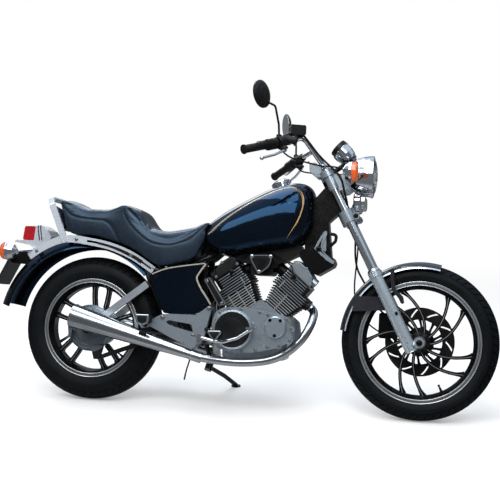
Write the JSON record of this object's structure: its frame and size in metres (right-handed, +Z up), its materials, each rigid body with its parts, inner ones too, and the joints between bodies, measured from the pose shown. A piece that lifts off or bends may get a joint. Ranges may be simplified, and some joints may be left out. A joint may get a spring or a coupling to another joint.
{
  "type": "cruiser motorcycle",
  "caption": "Cruiser motorcycle with an air-cooled V-twin engine, stepped seat, high handlebar and cast wheels, leaning on its side stand.",
  "frame": {"origin": "middle of the floor under the whole machine", "axes": "+X forward, +Y to the rider's left, +Z up; the machine leans towards +Y"},
  "size_m": [2.256, 0.878, 1.4248],
  "materials": {
    "black_paint": "gloss",
    "chrome": "polished",
    "cast_silver": "satin",
    "steel": "satin",
    "black_steel": "satin",
    "black_plastic": "satin",
    "rubber": "matte",
    "seat_cover": "satin",
    "tyre_rubber": "matte",
    "black_wheel": "gloss",
    "amber_lens": "clear",
    "red_lens": "clear",
    "clear_lens": "clear",
    "mirror_face": "polished"
  },
  "bodies": {
    "chassis": {"frame": "black_paint", "head_mount_trim": "chrome", "crankcase": "cast_silver", "clutch_insert": "black_plastic", "cylinders": "cast_silver", "cylinder_heads": "cast_silver", "intake": "black_plastic", "intake_cover": "chrome", "fuel_tank": "black_paint", "fuel_cap": "chrome", "seat": "seat_cover", "side_covers": "black_paint", "rear_fender": "black_paint", "seat_rails": "chrome", "grab_bar": "chrome", "backrest": "seat_cover", "tail_lamp_housing": "chrome", "tail_lamp_lens": "red_lens", "rear_indicators": "chrome", "rear_indicator_lenses": "amber_lens", "plate_bracket": "black_steel", "swingarm": "steel", "rear_axle": "steel", "rear_shock": "black_steel", "final_drive": "cast_silver", "brake_plate": "cast_silver", "exhausts": "chrome", "heat_shield": "chrome", "brackets": "cast_silver", "footpegs": "rubber", "pedals": "steel", "hoses": "rubber"},
    "steering": {"fork_clamps": "cast_silver", "fork_tubes": "chrome", "fork_sliders": "cast_silver", "front_axle": "steel", "handlebar": "chrome", "grips": "rubber", "bar_controls": "black_plastic", "levers": "steel", "mirrors": "black_plastic", "mirror_glass": "mirror_face", "gauge_cups": "chrome", "gauge_bezels": "black_plastic", "gauge_bracket": "black_steel", "headlight_shell": "chrome", "headlight_lens": "clear_lens", "headlight_brackets": "cast_silver", "front_indicators": "chrome", "front_indicator_lenses": "amber_lens", "horns": "chrome", "front_fender": "chrome", "caliper": "black_steel", "cables": "rubber"},
    "front_wheel": {"front_tyre": "tyre_rubber", "front_wheel": "black_wheel", "front_disc": "steel"},
    "rear_wheel": {"rear_tyre": "tyre_rubber", "rear_wheel": "black_wheel"},
    "side_stand": {"side_stand": "black_steel"}
  },
  "joints": [
    {"name": "steering", "type": "hinge", "parent": "chassis", "child": "steering", "pos_m": [0.42388, -0.03037, 0.91279], "axis": [-0.4617, 0.1692, 0.8707], "range_deg": [-36, 36]},
    {"name": "front_wheel_spin", "type": "hinge", "parent": "steering", "child": "front_wheel", "pos_m": [0.795, -0.14409, 0.32776], "axis": [0, 0.9816, -0.1908], "continuous": true},
    {"name": "rear_wheel_spin", "type": "hinge", "parent": "chassis", "child": "rear_wheel", "pos_m": [-0.661, -0.14632, 0.31628], "axis": [0, 0.9816, -0.1908], "continuous": true},
    {"name": "side_stand", "type": "hinge", "parent": "chassis", "child": "side_stand", "pos_m": [-0.148, -0.05991, 0.1424], "axis": [0.1834, 0.5109, 0.8398], "range_deg": [0, 102]}
  ]
}
